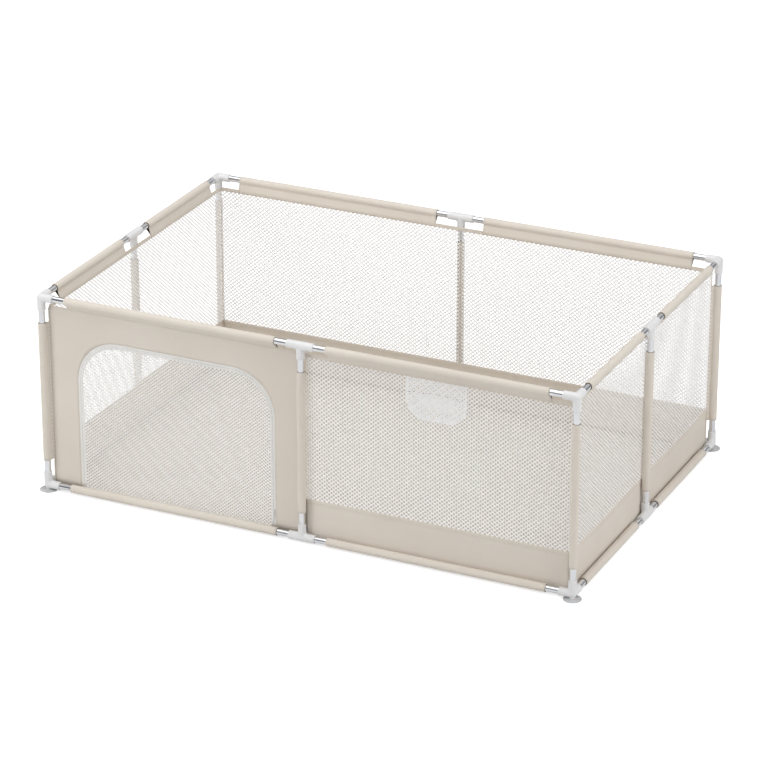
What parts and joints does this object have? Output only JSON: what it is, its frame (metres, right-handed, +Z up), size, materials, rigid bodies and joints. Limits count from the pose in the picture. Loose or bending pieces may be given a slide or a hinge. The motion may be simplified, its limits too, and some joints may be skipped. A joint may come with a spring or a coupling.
{
  "type": "play yard",
  "caption": "Large rectangular push-fit play yard with a steel-tube frame, plastic joints, net walls, a fabric skirt and a zipped arched door.",
  "frame": {"origin": "on the floor, in the middle of the yard", "axes": "+X along the length, the door in the left half of the front at -Y; +Y towards the back; +Z up"},
  "size_m": [1.826, 1.226, 0.662],
  "materials": {
    "steel_tube": "polished",
    "joint_plastic": "satin",
    "cup_rubber": "soft, slightly translucent",
    "beige_fabric": "fine woven",
    "white_net": "knitted net",
    "grey_tape": "woven tape",
    "zip_plastic": "satin"
  },
  "bodies": {
    "yard": {"elbow_bottom_back_left": "joint_plastic", "elbow_bottom_back_right": "joint_plastic", "elbow_bottom_front_left": "joint_plastic", "elbow_bottom_front_right": "joint_plastic", "elbow_top_back_left": "joint_plastic", "elbow_top_back_right": "joint_plastic", "elbow_top_front_left": "joint_plastic", "elbow_top_front_right": "joint_plastic", "floor_sheet": "beige_fabric", "front_door_panel": "beige_fabric", "net_pocket": "white_net", "net_wall_back": "white_net", "net_wall_front": "white_net", "net_wall_left": "white_net", "net_wall_right": "white_net", "post_back_left": "steel_tube", "post_back_mid": "steel_tube", "post_back_right": "steel_tube", "post_front_left": "steel_tube", "post_front_mid": "steel_tube", "post_front_right": "steel_tube", "post_left_mid": "steel_tube", "post_right_mid": "steel_tube", "skirts": "beige_fabric", "sleeves_back": "beige_fabric", "sleeves_front": "beige_fabric", "sleeves_left": "beige_fabric", "sleeves_right": "beige_fabric", "suction_cup_back_left": "cup_rubber", "suction_cup_back_right": "cup_rubber", "suction_cup_front_left": "cup_rubber", "suction_cup_front_right": "cup_rubber", "tee_bottom_back": "joint_plastic", "tee_bottom_front": "joint_plastic", "tee_bottom_left": "joint_plastic", "tee_bottom_right": "joint_plastic", "tee_top_back": "joint_plastic", "tee_top_front": "joint_plastic", "tee_top_left": "joint_plastic", "tee_top_right": "joint_plastic", "tube_bottom_back_left": "steel_tube", "tube_bottom_back_right": "steel_tube", "tube_bottom_front_left": "steel_tube", "tube_bottom_front_right": "steel_tube", "tube_bottom_left_back": "steel_tube", "tube_bottom_left_front": "steel_tube", "tube_bottom_right_back": "steel_tube", "tube_bottom_right_front": "steel_tube", "tube_top_back_left": "steel_tube", "tube_top_back_right": "steel_tube", "tube_top_front_left": "steel_tube", "tube_top_front_right": "steel_tube", "tube_top_left_back": "steel_tube", "tube_top_left_front": "steel_tube", "tube_top_right_back": "steel_tube", "tube_top_right_front": "steel_tube", "zip_tape": "grey_tape"},
    "door": {"door_flap": "white_net"},
    "slider": {"zip_slider": "zip_plastic"},
    "pull": {"zip_pull": "zip_plastic"}
  },
  "joints": [
    {"name": "door_fold", "type": "hinge", "parent": "yard", "child": "door", "pos_m": [-0.4345, -0.569, 0.0206], "axis": [-1, 0, 0], "range_deg": [0, 90]},
    {"name": "zip_run", "type": "slide", "parent": "yard", "child": "slider", "axis": [0, 0, 1], "range_m": [0, 0.29]},
    {"name": "pull_swing", "type": "hinge", "parent": "slider", "child": "pull", "pos_m": [-0.1041, -0.5736, 0.082], "axis": [-1, 0, 0], "range_deg": [0, 165]}
  ]
}
